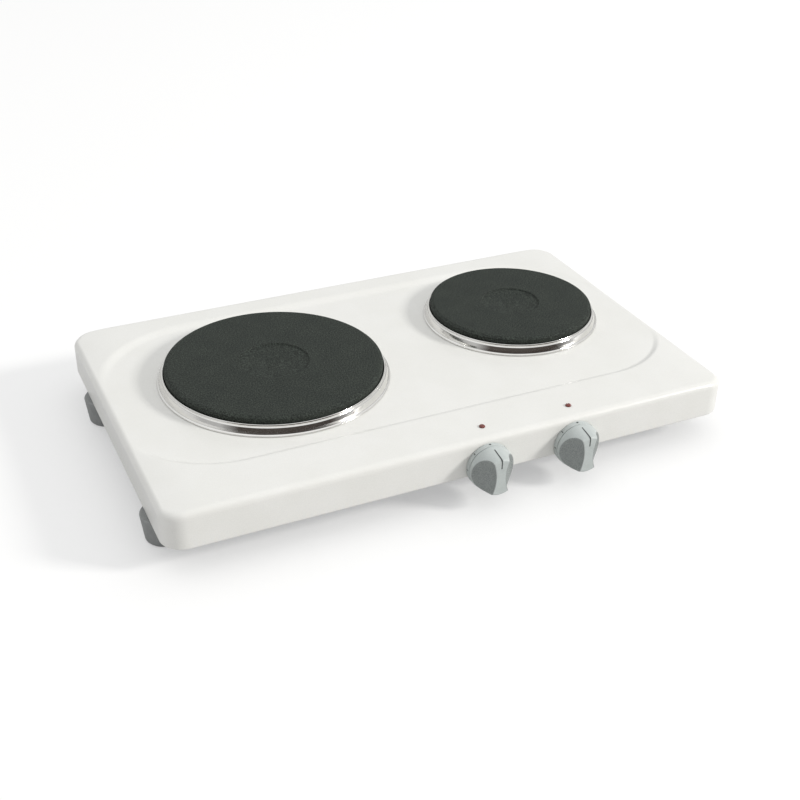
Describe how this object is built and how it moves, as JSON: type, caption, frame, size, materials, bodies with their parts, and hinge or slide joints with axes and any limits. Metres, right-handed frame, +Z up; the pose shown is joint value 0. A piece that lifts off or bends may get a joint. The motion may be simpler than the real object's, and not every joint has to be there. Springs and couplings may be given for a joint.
{
  "type": "electric hot plate",
  "caption": "Free-standing electric hot plate: enamelled steel housing, round cast-iron cooking plates in polished rims, front rotary knobs, indicator lamps and conical feet.",
  "frame": {"origin": "on the table, under the middle of the whole appliance's box", "axes": "+X to the user's right, +Y to the rear, +Z up; the knobs are at the front, on -Y"},
  "size_m": [0.491, 0.3274, 0.0666],
  "materials": {
    "enamel": "glossy white vitreous enamel",
    "zinc_sheet": "galvanised sheet",
    "cast_iron": "matte, finely pitted, coated",
    "stainless": "polished stainless steel",
    "plated_steel": "zinc plated",
    "knob_grey": "satin moulded thermoset",
    "foot_grey": "matte",
    "dark_moulding": "moulded phenolic",
    "ceramic": "unglazed steatite",
    "red_lens": "clear red moulding",
    "heater_sheath": "heat-darkened",
    "brown_wire": "silicone insulation",
    "white_wire": "glass-fibre sleeve",
    "green_wire": "silicone insulation",
    "black_rubber": "matte"
  },
  "bodies": {
    "chassis": {"top_housing": "enamel", "base_plate": "zinc_sheet", "front_left_foot": "foot_grey", "front_right_foot": "foot_grey", "rear_left_foot": "foot_grey", "rear_right_foot": "foot_grey", "front_left_foot_screw": "plated_steel", "front_right_foot_screw": "plated_steel", "rear_left_foot_screw": "plated_steel", "rear_right_foot_screw": "plated_steel", "left_hotplate": "cast_iron", "right_hotplate": "cast_iron", "left_spill_ring": "stainless", "right_spill_ring": "stainless", "left_heating_coil": "heater_sheath", "right_heating_coil": "heater_sheath", "left_underside_cover": "zinc_sheet", "right_underside_cover": "zinc_sheet", "left_terminal_block": "ceramic", "right_terminal_block": "ceramic", "left_plate_stud": "plated_steel", "right_plate_stud": "plated_steel", "left_mounting_bar": "plated_steel", "right_mounting_bar": "plated_steel", "left_stud_nut": "plated_steel", "right_stud_nut": "plated_steel", "left_dial_ring": "knob_grey", "right_dial_ring": "knob_grey", "left_switch_body": "dark_moulding", "right_switch_body": "dark_moulding", "left_switch_screw_left": "plated_steel", "left_switch_screw_right": "plated_steel", "right_switch_screw_left": "plated_steel", "right_switch_screw_right": "plated_steel", "left_lamp_lens": "red_lens", "right_lamp_lens": "red_lens", "left_lamp_body": "dark_moulding", "right_lamp_body": "dark_moulding", "mains_terminal_block": "ceramic", "cord_bushing": "black_rubber", "earth_screw": "plated_steel", "left_feed_wire": "brown_wire", "right_feed_wire": "brown_wire", "left_plate_wire": "white_wire", "right_plate_wire": "white_wire", "left_lamp_wire": "white_wire", "right_lamp_wire": "white_wire", "earth_wire": "green_wire"},
    "left_control": {"left_knob": "knob_grey", "left_switch_shaft": "plated_steel"},
    "right_control": {"right_knob": "knob_grey", "right_switch_shaft": "plated_steel"}
  },
  "joints": [
    {"name": "left_knob_turn", "type": "hinge", "parent": "chassis", "child": "left_control", "pos_m": [0.014, -0.1525, 0.0323], "axis": [0, 1, 0], "range_deg": [0, 315]},
    {"name": "right_knob_turn", "type": "hinge", "parent": "chassis", "child": "right_control", "pos_m": [0.092, -0.1525, 0.0323], "axis": [0, 1, 0], "range_deg": [0, 315]}
  ]
}
